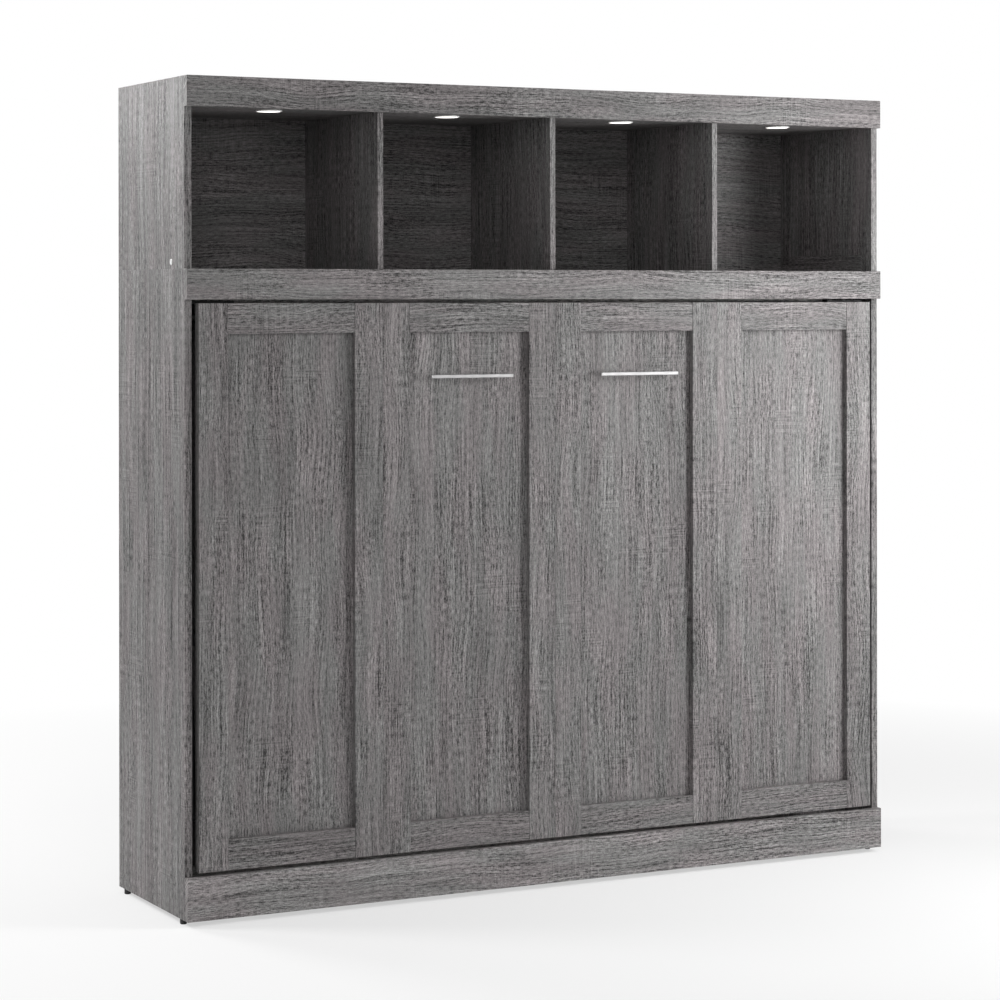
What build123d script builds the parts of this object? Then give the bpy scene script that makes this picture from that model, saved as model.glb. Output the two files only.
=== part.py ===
from build123d import *
import math
import os

# Horizontal wall bed: a full-size bed that stands on its long edge inside a cabinet and tilts
# down about a hinge near the floor, with a lit hutch of four open cubbies on top.
# Frame: millimetres, +X to the right, -Y out of the front, +Z up. The origin is on the floor,
# at the middle of the overall width and of the overall depth with the handles.

# ---- driving dimensions ----
overall_width = 2083.0
cabinet_depth = 496.0          # from the front of the three cross rails to the wall
handle_proud = 9.0             # the handles stand this far in front of the cross rails
glide_height = 13.5
lower_height = 1622.0          # side panels below the hutch
hutch_height = 480.0
panel = 19.0                   # side, top and floor panels
rail_thickness = 18.0          # base rail, belt rail, fascia and the inner battens
base_rail_height = 109.3
belt_rail_height = 77.3
fascia_height = 77.0
face_gap = 9.2                 # above and below the bed's face
side_gap = 14.0                # between the bed's face and each side panel
edge_radius = 0.8

# hutch
divider_thickness = 16.0
hutch_back_thickness = 14.0
soffit_thickness = 16.0
soffit_rise = 3.0              # underside of the soffit above the fascia's lower edge
puck_radius = 34.0
puck_lens_radius = 30.0
puck_height = 16.0
puck_lens_thickness = 2.0
puck_from_front = 118.0
puck_from_centre = (264.5, 772.5)
cleat_height = 47.0
cleat_thickness = 8.0
cleat_from_front = 58.0
cleat_length = 400.0

# the bed's face: four shaker panels side by side
shaker_count = 4
stile_width = 78.0
shaker_rail_height = 77.0
stile_thickness = 16.0
shaker_rail_setback = 1.0
field_thickness = 10.0
face_setback = 5.5             # stiles sit this far behind the front of the cross rails

# the bed frame and mattress
frame_depth = 117.0
frame_thickness = 19.0
long_rail_thickness = 18.0
frame_inset = 20.0             # frame ends inside the ends of the face
frame_edge_inset = 1.5         # long rails inside the top and bottom of the face
ledger_depth = 45.0
ledger_width = 25.0
slat_count = 13
slat_width = 70.0
slat_thickness = 14.0
slat_pitch = 146.0
mattress_length = 1905.0
mattress_width = 1372.0
mattress_thickness = 230.0
strap_width = 50.0
strap_thickness = 2.0
strap_from_centre = 420.0

# the hinge, measured from the front of the cross rails and from the panels' lower edge
pivot_from_front = 105.0
pivot_height = 290.0
pin_radius = 10.0
bush_radius = 15.0
running_clearance = 0.05
plate_thickness = 4.0

# gas struts, measured from the hinge with the bed upright
strut_base = (-41.0, -41.0)
strut_top = (-20.0, 420.0)
strut_radius = 10.0
strut_bore_radius = 8.0
strut_tube_length = 255.0
rod_radius = 4.0
eye_radius = 11.0
stud_radius = 5.0

# folding legs
leg_pivot_from_front = 76.0
leg_pivot_height = 1500.0
leg_width = 40.0
leg_thickness = 8.0
leg_pin_radius = 6.0
leg_floor_clearance = 0.5
foot_height = 14.0

# handles
handle_length = 239.0
handle_height = 9.0
handle_thickness = 8.0
handle_level = 1344.5
handle_post_spacing = 192.0
handle_post_width = 10.0

# ---- places worked out from the driving dimensions ----
half = overall_width / 2
inner = half - panel
overall_depth = cabinet_depth + handle_proud
front = -overall_depth / 2 + handle_proud
back = front + cabinet_depth
side_front = front + rail_thickness
base = glide_height
seam = base + lower_height
top = seam + hutch_height
soffit_bottom = top - fascia_height + soffit_rise
soffit_top = soffit_bottom + soffit_thickness
puck_bottom = soffit_bottom - soffit_rise
cubby_back = back - hutch_back_thickness
face_half = inner - side_gap
face_bottom = base + base_rail_height + face_gap
face_top = seam - belt_rail_height - face_gap
shaker_pitch = 2 * face_half / shaker_count
stile_front = front + face_setback
stile_back = stile_front + stile_thickness
field_back = stile_back + field_thickness
frame_outer = face_half - frame_inset
frame_inner = frame_outer - frame_thickness
frame_back = field_back + frame_depth
frame_bottom = face_bottom + frame_edge_inset
frame_top = face_top - frame_edge_inset
slat_front = field_back + ledger_depth
slat_back = slat_front + slat_thickness
mattress_front = slat_back + 0.5
mattress_back = mattress_front + mattress_thickness
mattress_middle = (frame_bottom + frame_top) / 2
pivot_y = front + pivot_from_front
pivot_z = base + pivot_height
strut_base_y = pivot_y + strut_base[0]
strut_base_z = pivot_z + strut_base[1]
strut_top_y = pivot_y + strut_top[0]
strut_top_z = pivot_z + strut_top[1]
mechanism_gap = inner - frame_outer
strut_x = inner - mechanism_gap / 2
leg_y = front + leg_pivot_from_front
leg_z = base + leg_pivot_height
leg_outer = inner - 4.0
leg_inner = leg_outer - leg_thickness
leg_reach = pivot_z + (leg_y - pivot_y) - leg_floor_clearance


# ---- helpers ----
def block(xa, xb, ya, yb, za, zb):
    """A box between two opposite corners, given in any order."""
    solid = Box(abs(xb - xa), abs(yb - ya), abs(zb - za))
    return Pos((xa + xb) / 2, (ya + yb) / 2, (za + zb) / 2) * solid


def eased(solid, radius=edge_radius):
    """A panel with its edges slightly rounded, as an edge-banded board has."""
    return fillet(solid.edges(), radius)


def rod_x(xa, xb, y, z, radius):
    """A round bar along X."""
    return Pos((xa + xb) / 2, y, z) * Rot(0, 90, 0) * Cylinder(radius, abs(xb - xa))


def rod_y(x, ya, yb, z, radius):
    """A round bar along Y."""
    return Pos(x, (ya + yb) / 2, z) * Rot(90, 0, 0) * Cylinder(radius, abs(yb - ya))


def rod_z(x, y, za, zb, radius):
    """A round bar along Z."""
    return Pos(x, y, (za + zb) / 2) * Cylinder(radius, abs(zb - za))


def group(solids):
    return Compound(children=list(solids))


def cut_all(solid, tools):
    for tool in tools:
        solid = solid - tool
    return solid


sides = {"left": -1, "right": 1}


# ---- fasteners and feet, made first because panels are drilled for them ----
def levelling_glides():
    glides = []
    for s in sides.values():
        for y in (front + 54.6, front + 457.5):
            x = s * (half - panel / 2)
            disc = rod_z(x, y, 0, glide_height, 8.8)
            disc = chamfer(disc.edges().group_by(Axis.Z)[0], 1.5)
            glides.append(disc + rod_z(x, y, glide_height, base + 22, 3.0))
    return glides


def connector_bolts():
    """A bolt and a blind dowel pin join each hutch side to the cleat inside it."""
    bolts = []
    z = seam + 17
    for s in sides.values():
        blind_end = s * (inner - cleat_thickness + 1.5)
        head = rod_x(s * half, s * (half + 2.0), front + 108, z, 7.5)
        head = chamfer(head.edges().group_by(Axis.X)[0 if s < 0 else -1], 1.2)
        bolts.append(head + rod_x(s * half, blind_end, front + 108, z, 3.0))
        bolts.append(rod_x(s * (half - 5.0), blind_end, front + 430, z, 3.0))
    return bolts


def panel_screws():
    """Countersunk screws through the side panels into the cabinet's top panel."""
    screws = []
    for s in sides.values():
        for y in (front + 51, front + 419):
            z = seam - panel / 2
            screws.append(rod_x(s * (half - 0.6), s * (inner - 40), y, z, 3.5))
    return screws


def pivot_pins():
    return [rod_x(s * (inner - plate_thickness), s * (frame_inner - 9), pivot_y, pivot_z, pin_radius)
            for s in sides.values()]


def pivot_plates():
    """Steel plates screwed to the side panels; each carries a hinge pin and a strut stud."""
    plates = []
    for s in sides.values():
        plate = block(s * inner, s * (inner - plate_thickness), pivot_y - 70, pivot_y + 45,
                      pivot_z - 85, pivot_z + 45)
        plate = fillet(plate.edges().filter_by(Axis.X), 10)
        plates.append(plate)
    return plates


def strut_base_studs():
    """Shouldered studs that the struts' lower eyes turn on."""
    studs = []
    for s in sides.values():
        y = strut_base_y
        z = strut_base_z
        shoulder = rod_x(s * (inner - plate_thickness), s * (strut_x + 6.5), y, z, 8.0)
        shank = rod_x(s * (strut_x + 6.5), s * (strut_x - 6.5), y, z, stud_radius)
        head = rod_x(s * (strut_x - 6.5), s * (strut_x - 9.5), y, z, 8.0)
        studs.append(shoulder + shank + head)
    return studs


# ---- cabinet ----
def cabinet_side(s):
    panel_solid = eased(block(s * inner, s * half, side_front, back, base, seam))
    return cut_all(panel_solid, panel_screws() + levelling_glides())


def hutch_side(s):
    return cut_all(eased(block(s * inner, s * half, side_front, back, seam, top)), connector_bolts())


def cabinet_top_panel():
    return cut_all(block(-inner, inner, side_front, back, seam - panel, seam), panel_screws())


def cross_rail(low, high):
    """One of the three full-width rails that stand in front of the side panels."""
    return eased(block(-half, half, front, side_front, low, high))


def base_rail_batten():
    return block(-inner, inner, side_front, side_front + rail_thickness, base + 10, base + 80)


def belt_batten():
    """Batten under the top panel, which hides the gap above the closed bed."""
    y = front + leg_pivot_from_front
    return block(-half + 147, half - 147, y, y + rail_thickness, face_top + 2.4, seam - panel)


def lower_back_rail():
    return block(-inner, inner, back - rail_thickness, back, base, base + 250)


wall_rail_low = seam - panel - 150
wall_screw_level = wall_rail_low + 75
wall_screw_radius = 4.0
stud_spacing = 406.4


def upper_wall_rail():
    rail = block(-inner, inner, back - rail_thickness, back, wall_rail_low, seam - panel)
    for count in (-2, -1, 1, 2):
        rail -= rod_y(count * stud_spacing, back - 30, back + 10, wall_screw_level, wall_screw_radius)
    return rail


def hutch_divider(x):
    edge = divider_thickness / 2
    return eased(block(x - edge, x + edge, side_front, cubby_back, seam, soffit_bottom))


def hutch_back_panel():
    return block(-inner, inner, cubby_back, back, seam, top - panel)


def puck_places():
    return [(s * x, front + puck_from_front) for x in puck_from_centre for s in (-1, 1)]


def led_puck_housings():
    housings = []
    for x, y in puck_places():
        cup = rod_z(x, y, puck_bottom, puck_bottom + puck_height, puck_radius)
        cup = fillet(cup.edges().group_by(Axis.Z)[0], 1.2)
        housings.append(cup - rod_z(x, y, puck_bottom - 1, puck_bottom + puck_lens_thickness, puck_lens_radius))
    return housings


def led_puck_lenses():
    return [rod_z(x, y, puck_bottom, puck_bottom + puck_lens_thickness, puck_lens_radius)
            for x, y in puck_places()]


def hutch_soffit():
    board = block(-inner, inner, side_front, cubby_back, soffit_bottom, soffit_top)
    for x, y in puck_places():
        board -= rod_z(x, y, soffit_bottom - 1, soffit_top + 1, puck_radius)
    return board


def hutch_top_panel():
    return block(-inner, inner, side_front, back, top - panel, top)


def hutch_cleat(s):
    cleat = block(s * inner, s * (inner - cleat_thickness), front + cleat_from_front,
                  front + cleat_from_front + cleat_length, seam, seam + cleat_height)
    return cut_all(eased(cleat, 0.5), connector_bolts())


stop_low = base + 1430
stop_high = base + 1470


def bed_stops():
    """Rubber-faced blocks on the side panels that the closed frame rests against."""
    return [block(s * inner, s * (frame_inner + 6), frame_back + 0.3, frame_back + 28, stop_low, stop_high)
            for s in sides.values()]


# ---- the bed's face ----
def shaker_edges():
    return [-face_half + i * shaker_pitch for i in range(shaker_count)]


def face_field(index):
    left = shaker_edges()[index]
    board = block(left, left + shaker_pitch, stile_back, field_back, face_bottom, face_top)
    return cut_all(board, handle_screws())


def face_stiles():
    stiles = []
    for left in shaker_edges():
        for x in (left, left + shaker_pitch - stile_width):
            strip = block(x, x + stile_width, stile_front, stile_back, face_bottom, face_top)
            stiles.append(fillet(strip.faces().sort_by(Axis.Y)[0].edges(), edge_radius))
    return stiles


def face_rails():
    rails = []
    for left in shaker_edges():
        for z in (face_bottom, face_top - shaker_rail_height):
            strip = block(left + stile_width, left + shaker_pitch - stile_width,
                          stile_front + shaker_rail_setback, stile_back, z, z + shaker_rail_height)
            rails.append(fillet(strip.faces().sort_by(Axis.Y)[0].edges(), edge_radius))
    return rails


# ---- handles ----
handle_front = front - handle_proud
handle_rear = handle_front + handle_thickness


def handle_x(s):
    return s * shaker_pitch / 2


def handle(s):
    x = handle_x(s)
    z = base + handle_level
    reach = handle_length / 2
    bar = block(x - reach, x + reach, handle_front, handle_rear, z - handle_height / 2, z + handle_height / 2)
    bar = fillet(bar.edges(), 1.5)
    for end in (-1, 1):
        px = x + end * handle_post_spacing / 2
        post = block(px - handle_post_width / 2, px + handle_post_width / 2, handle_rear - 1, stile_back,
                     z - handle_height / 2 + 0.5, z + handle_height / 2 - 0.5)
        bar += fillet(post.edges().filter_by(Axis.Y), 2)
    return cut_all(bar, handle_screws())


def handle_screws():
    """Machine screws from behind the field board into the handle posts."""
    screws = []
    for s in sides.values():
        for end in (-1, 1):
            x = handle_x(s) + end * handle_post_spacing / 2
            z = base + handle_level
            shank = rod_y(x, handle_rear + 6, field_back, z, 2.0)
            screws.append(shank + rod_y(x, field_back, field_back + 2.5, z, 4.5))
    return screws


# ---- bed frame ----
def bed_end_rail(s):
    rail = block(s * frame_inner, s * frame_outer, field_back, frame_back, frame_bottom, frame_top)
    return rail - rod_x(s * (frame_inner - 5), s * (frame_outer + 5), pivot_y, pivot_z, bush_radius)


def bed_long_rail(low):
    return block(-frame_inner, frame_inner, field_back, frame_back, low, low + long_rail_thickness)


def pivot_bushes():
    """Flanged bushes in the end rails that turn on the hinge pins."""
    bushes = []
    for s in sides.values():
        sleeve = rod_x(s * frame_inner, s * frame_outer, pivot_y, pivot_z, bush_radius)
        flange = rod_x(s * frame_outer, s * (frame_outer + 3), pivot_y, pivot_z, bush_radius + 5)
        bore = rod_x(s * (frame_inner - 5), s * (frame_outer + 5), pivot_y, pivot_z,
                     pin_radius + running_clearance)
        bushes.append(sleeve + flange - bore)
    return bushes


ledger_low = frame_bottom + long_rail_thickness
ledger_high = frame_top - long_rail_thickness


def slat_ledgers():
    low = block(-frame_inner, frame_inner, field_back, slat_front, ledger_low, ledger_low + ledger_width)
    high = block(-frame_inner, frame_inner, field_back, slat_front, ledger_high - ledger_width, ledger_high)
    return [low, high]


def centre_beam():
    return block(-frame_inner, frame_inner, field_back, slat_front, mattress_middle - 20, mattress_middle + 20)


def slats():
    boards = []
    for i in range(slat_count):
        x = (i - (slat_count - 1) / 2) * slat_pitch
        board = block(x - slat_width / 2, x + slat_width / 2, slat_front, slat_back,
                      ledger_low + 1, ledger_high - 1)
        boards.append(fillet(board.edges().filter_by(Axis.Z), 3))
    return boards


def mattress():
    pad = block(-mattress_length / 2, mattress_length / 2, mattress_front, mattress_back,
                mattress_middle - mattress_width / 2, mattress_middle + mattress_width / 2)
    return fillet(pad.edges(), 18)


strap_reach = mattress_width / 2 + 0.3
strap_back = mattress_back + 0.3


def mattress_straps():
    """Elastic bands across the mattress, which hold it in the upright frame."""
    bands = []
    for s in sides.values():
        x = s * strap_from_centre
        outer = block(x - strap_width / 2, x + strap_width / 2, frame_back + 2.5, strap_back + strap_thickness,
                      mattress_middle - strap_reach - strap_thickness,
                      mattress_middle + strap_reach + strap_thickness)
        corners = outer.edges().filter_by(Axis.X).group_by(Axis.Y)[-1]
        outer = fillet(corners, 18 + strap_thickness)
        hollow = block(x - strap_width, x + strap_width, frame_back - 50, strap_back,
                       mattress_middle - strap_reach, mattress_middle + strap_reach)
        hollow = fillet(hollow.edges().filter_by(Axis.X).group_by(Axis.Y)[-1], 18)
        bands.append(outer - hollow)
    return bands


def strap_plates():
    """Metal plates that clamp the strap ends to the long rails' back edges."""
    plates = []
    for s in sides.values():
        x = s * strap_from_centre
        for z, inward in ((frame_bottom + 2, 1), (frame_top - 2, -1)):
            plates.append(block(x - 32, x + 32, frame_back, frame_back + 2.5, z, z + inward * 18.5))
    return plates


# ---- folding legs ----
def leg_brackets():
    """Black angle brackets on the frame's top corners; the legs hang from them."""
    brackets = []
    for s in sides.values():
        flange = block(s * frame_outer, s * (frame_outer + plate_thickness), leg_y - 26, leg_y - 1 + 27,
                       leg_z - 32, frame_top)
        shelf = block(s * (half - 145), s * leg_outer, leg_y - 26, leg_y - 1, frame_top, frame_top + 7)
        brackets.append(flange + shelf)
    return brackets


def leg_pins():
    pins = []
    for s in sides.values():
        collar = rod_x(s * (frame_outer + plate_thickness), s * (leg_inner - 0.5), leg_y, leg_z, 9.0)
        shank = rod_x(s * (leg_inner - 0.5), s * (leg_outer + 0.5), leg_y, leg_z, leg_pin_radius)
        head = rod_x(s * (leg_outer + 0.5), s * (leg_outer + 2.5), leg_y, leg_z, 9.0)
        pins.append(collar + shank + head)
    return pins


def leg(s):
    low = leg_z - leg_reach + foot_height
    bar = block(s * leg_inner, s * leg_outer, leg_y - leg_width / 2, leg_y + leg_width / 2, low, leg_z)
    bar += rod_x(s * leg_inner, s * leg_outer, leg_y, leg_z, leg_width / 2)
    return bar - rod_x(s * (leg_inner - 5), s * (leg_outer + 5), leg_y, leg_z, leg_pin_radius + running_clearance)


def leg_foot(s):
    low = leg_z - leg_reach
    pad = block(s * (leg_inner - 1), s * (leg_outer + 1), leg_y - leg_width / 2 - 3, leg_y + leg_width / 2 + 3,
                low, low + foot_height)
    return fillet(pad.edges(), 1.5)


# ---- gas struts ----
strut_run_y = strut_top_y - strut_base_y
strut_run_z = strut_top_z - strut_base_z
strut_length = math.hypot(strut_run_y, strut_run_z)
strut_lean = math.degrees(math.atan2(-strut_run_y, strut_run_z))
piston_thickness = 8.0
gland_thickness = 10.0
tube_start = 14.0
tube_end = tube_start + strut_tube_length
piston_top = tube_end - gland_thickness - 3


def along_strut(s, solid):
    """Carry a solid made on the Z axis onto a strut's own line."""
    return Pos(s * strut_x, strut_base_y, strut_base_z) * Rot(strut_lean, 0, 0) * solid


def strut_cylinder(s):
    tube = rod_z(0, 0, tube_start, tube_end, strut_radius)
    tube -= rod_z(0, 0, tube_start + 6, tube_end - gland_thickness, strut_bore_radius)
    tube -= rod_z(0, 0, tube_end - gland_thickness - 1, tube_end + 1, rod_radius + running_clearance)
    lug = rod_x(-6, 6, 0, 0, eye_radius) + block(-6, 6, -6, 6, 0, tube_start)
    lug -= rod_x(-10, 10, 0, 0, stud_radius + running_clearance)
    return along_strut(s, lug + tube)


def strut_rod(s):
    piston = rod_z(0, 0, piston_top - piston_thickness, piston_top, strut_bore_radius - running_clearance)
    rod = rod_z(0, 0, piston_top, strut_length, rod_radius)
    eye = rod_x(-4, 4, 0, strut_length, eye_radius)
    return along_strut(s, piston + rod + eye)


def strut_top_studs():
    """Plates and studs on the end rails, beside the struts' upper eyes."""
    studs = []
    for s in sides.values():
        plate = block(s * frame_outer, s * (frame_outer + plate_thickness), strut_top_y - 22, strut_top_y + 22,
                      strut_top_z - 35, strut_top_z + 35)
        plate = fillet(plate.edges().filter_by(Axis.X), 6)
        stud = rod_x(s * (frame_outer + plate_thickness), s * (strut_x - 4.5), strut_top_y, strut_top_z, stud_radius)
        studs.append(plate + stud)
    return studs


# ---- nodes ----
nodes = {
    "cabinet_top_panel": cabinet_top_panel(),
    "base_rail": cross_rail(base, base + base_rail_height),
    "belt_rail": cross_rail(seam - belt_rail_height, seam),
    "top_fascia": cross_rail(top - fascia_height, top),
    "base_rail_batten": base_rail_batten(),
    "belt_batten": belt_batten(),
    "lower_back_rail": lower_back_rail(),
    "upper_wall_rail": upper_wall_rail(),
    "hutch_back_panel": hutch_back_panel(),
    "hutch_soffit": hutch_soffit(),
    "hutch_top_panel": hutch_top_panel(),
    "connector_bolts": group(connector_bolts()),
    "panel_screws": group(panel_screws()),
    "levelling_glides": group(levelling_glides()),
    "led_puck_housings": group(led_puck_housings()),
    "led_puck_lenses": group(led_puck_lenses()),
    "pivot_plates": group(pivot_plates()),
    "pivot_pins": group(pivot_pins()),
    "strut_base_studs": group(strut_base_studs()),
    "bed_stops": group(bed_stops()),
    "face_stiles": group(face_stiles()),
    "face_rails": group(face_rails()),
    "handle_screws": group(handle_screws()),
    "bed_bottom_rail": bed_long_rail(frame_bottom),
    "bed_top_rail": bed_long_rail(frame_top - long_rail_thickness),
    "slat_ledgers": group(slat_ledgers()),
    "centre_beam": centre_beam(),
    "slats": group(slats()),
    "mattress": mattress(),
    "mattress_straps": group(mattress_straps()),
    "strap_plates": group(strap_plates()),
    "pivot_bushes": group(pivot_bushes()),
    "leg_brackets": group(leg_brackets()),
    "leg_pins": group(leg_pins()),
    "strut_top_studs": group(strut_top_studs()),
}
for number in range(shaker_count - 1):
    nodes[f"hutch_divider_{number + 1}"] = hutch_divider(shaker_edges()[number + 1])
for number in range(shaker_count):
    nodes[f"face_field_{number + 1}"] = face_field(number)
for side_name, s in sides.items():
    nodes[f"cabinet_side_{side_name}"] = cabinet_side(s)
    nodes[f"hutch_side_{side_name}"] = hutch_side(s)
    nodes[f"hutch_cleat_{side_name}"] = hutch_cleat(s)
    nodes[f"bed_end_rail_{side_name}"] = bed_end_rail(s)
    nodes[f"handle_{side_name}"] = handle(s)
    nodes[f"leg_{side_name}"] = leg(s)
    nodes[f"leg_foot_{side_name}"] = leg_foot(s)
    nodes[f"strut_cylinder_{side_name}"] = strut_cylinder(s)
    nodes[f"strut_rod_{side_name}"] = strut_rod(s)

os.makedirs("parts", exist_ok=True)
for name, shape in nodes.items():
    export_step(shape, f"parts/{name}.step")

# The struts' swing and stroke per radian of bed tilt, and the hinge positions, for the record.
open_run_y = -strut_top[1] - strut_base[0]
open_run_z = strut_top[0] - strut_base[1]
open_length = math.hypot(open_run_y, open_run_z)
open_lean = math.degrees(math.atan2(-open_run_y, open_run_z))
print("nodes", len(nodes))
print("bed hinge y, z", pivot_y, pivot_z)
print("leg hinge y, z", leg_y, leg_z)
print("strut hinge y, z", strut_base_y, strut_base_z, "axis y, z", strut_run_y / strut_length, strut_run_z / strut_length)
print("swing ratio", (open_lean - strut_lean) / 90)
print("stroke ratio, metres per radian", (open_length - strut_length) / 1000 / (math.pi / 2))
print("front, back, face_half, shaker pitch", front, back, face_half, shaker_pitch)
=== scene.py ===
import math

import bmesh
import bpy
from mathutils import Matrix, Vector
from mathutils.bvhtree import BVHTree


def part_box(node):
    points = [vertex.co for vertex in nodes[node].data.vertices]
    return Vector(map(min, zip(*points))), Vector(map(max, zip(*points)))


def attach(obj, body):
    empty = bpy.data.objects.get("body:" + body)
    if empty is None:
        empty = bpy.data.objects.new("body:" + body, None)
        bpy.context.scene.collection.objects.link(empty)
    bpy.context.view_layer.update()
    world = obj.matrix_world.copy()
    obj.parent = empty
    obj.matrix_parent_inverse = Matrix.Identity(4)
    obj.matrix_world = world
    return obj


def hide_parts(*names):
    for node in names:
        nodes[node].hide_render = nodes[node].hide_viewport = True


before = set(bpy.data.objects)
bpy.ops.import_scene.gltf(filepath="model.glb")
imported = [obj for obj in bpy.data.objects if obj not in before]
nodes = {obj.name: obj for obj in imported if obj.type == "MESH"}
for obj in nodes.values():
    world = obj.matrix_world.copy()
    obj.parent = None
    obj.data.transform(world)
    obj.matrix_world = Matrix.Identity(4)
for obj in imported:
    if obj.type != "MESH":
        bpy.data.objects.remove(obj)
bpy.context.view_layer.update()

# Looks for the horizontal wall bed: dark grey oak-grain laminate, slim metal pulls, lit pucks,
# and the steel mechanism, slats and mattress that show when the bed is down. Metres throughout.


def box_corners(node):
    return tuple(Vector(corner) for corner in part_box(node))


# ---------------------------------------------------------------- camera, light and floor
CAMERA_PLACE = (-3.5851, -6.8049, 1.5582)
CAMERA_YAW, CAMERA_PITCH, CAMERA_ROLL = 27.513, -0.037, -0.068      # degrees
CAMERA_LENS = 101.65                                                # mm
CAMERA_SENSOR = 36.0
CAMERA_SHIFT = -0.199
CAMERA_REACH = 100.0

MIDDLE = (0.0, -0.2, 1.0)
# each light: name, place, aim, width, height, watts. Two stacked softboxes close on the right, a
# wider one beyond them, two high on the left, and a front fill
LIGHTS = [
    ("key_high", (1.46, -1.48, 1.94), (0.0, -0.2, 1.2), 0.55, 0.55, 13.0),
    ("key_low", (1.60, -1.60, 1.20), MIDDLE, 0.6, 0.6, 17.0),
    ("key_wide", (2.75, -1.60, 1.75), MIDDLE, 1.0, 1.0, 21.0),
    ("side_high", (-3.5, 1.5, 3.0), (-1.0, 0.0, 1.2), 1.0, 1.0, 70.0),
    ("side_back", (-2.27, 3.72, 3.11), MIDDLE, 1.4, 1.4, 81.0),
    ("front_fill", (-2.4, -4.2, 2.9), MIDDLE, 2.2, 1.8, 26.0),
]
SKY_LIT, SKY_SEEN = 0.4, 1.0     # strength of the sky as a light, and as the camera sees it
FLOOR_REACH = 30.0
FLOOR_GREY = 0.9
FADE_NEAR, FADE_FAR = 1.6, 3.6   # the floor turns to plain white between these distances
FADE_LEAST = 0.55


def make_camera():
    """The photograph's view: from the front left, at the height of the belt rail."""
    camera = bpy.data.objects.new("camera", bpy.data.cameras.new("camera"))
    bpy.context.scene.collection.objects.link(camera)
    turn = (Matrix.Rotation(-math.radians(CAMERA_YAW), 4, "Z")
            @ Matrix.Rotation(math.pi / 2 + math.radians(CAMERA_PITCH), 4, "X")
            @ Matrix.Rotation(math.radians(CAMERA_ROLL), 4, "Z"))
    camera.matrix_world = Matrix.Translation(CAMERA_PLACE) @ turn
    camera.data.lens = CAMERA_LENS
    camera.data.sensor_width = CAMERA_SENSOR
    camera.data.shift_y = CAMERA_SHIFT
    camera.data.clip_end = CAMERA_REACH
    bpy.context.scene.camera = camera


def area_light(name, place, aim, width, height, watts):
    data = bpy.data.lights.new(name, "AREA")
    data.shape = "RECTANGLE"
    data.size = width
    data.size_y = height
    data.energy = watts
    light = bpy.data.objects.new(name, data)
    bpy.context.scene.collection.objects.link(light)
    light.location = place
    light.visible_camera = False
    light.rotation_euler = (Vector(aim) - Vector(place)).to_track_quat("-Z", "Y").to_euler()


def make_sky():
    """An even sky that looks pure white behind the object."""
    world = bpy.data.worlds.new("studio")
    world.use_nodes = True
    tree = world.node_tree
    background = tree.nodes["Background"]
    background.inputs["Color"].default_value = (1, 1, 1, 1)
    seen = tree.nodes.new("ShaderNodeLightPath").outputs["Is Camera Ray"]
    strength = tree.nodes.new("ShaderNodeMapRange")
    strength.inputs["To Min"].default_value = SKY_LIT
    strength.inputs["To Max"].default_value = SKY_SEEN
    tree.links.new(seen, strength.inputs["Value"])
    tree.links.new(strength.outputs["Result"], background.inputs["Strength"])
    bpy.context.scene.world = world
    bpy.context.scene.view_settings.view_transform = "Standard"


def make_floor():
    """A white sweep: its own shade shows near the object and it fades to the white behind it."""
    mesh = bpy.data.meshes.new("floor")
    edge = FLOOR_REACH
    corners = [(-edge, -edge, 0), (edge, -edge, 0), (edge, edge, 0), (-edge, edge, 0)]
    mesh.from_pydata(corners, [], [(0, 1, 2, 3)])
    floor = bpy.data.objects.new("floor", mesh)
    bpy.context.scene.collection.objects.link(floor)
    s = Shader("pale_floor")
    s.surface(base_color=(FLOOR_GREY, FLOOR_GREY, FLOOR_GREY, 1), roughness=0.8)
    glow = s.tree.nodes.new("ShaderNodeEmission")
    mixer = s.tree.nodes.new("ShaderNodeMixShader")
    seen = s.tree.nodes.new("ShaderNodeLightPath").outputs["Is Camera Ray"]
    length = s.tree.nodes.new("ShaderNodeVectorMath")
    length.operation = "LENGTH"
    s.plug(length.inputs[0], s.coords)
    fade = s.remap(length.outputs["Value"], FADE_NEAR, FADE_FAR, FADE_LEAST, 1.0)
    s.plug(mixer.inputs[0], s.math("MULTIPLY", seen, fade))
    s.plug(mixer.inputs[1], s.bsdf.outputs[0])
    s.plug(mixer.inputs[2], glow.outputs[0])
    s.plug(s.tree.nodes["Material Output"].inputs["Surface"], mixer.outputs[0])
    mesh.materials.append(s.material)


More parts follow.
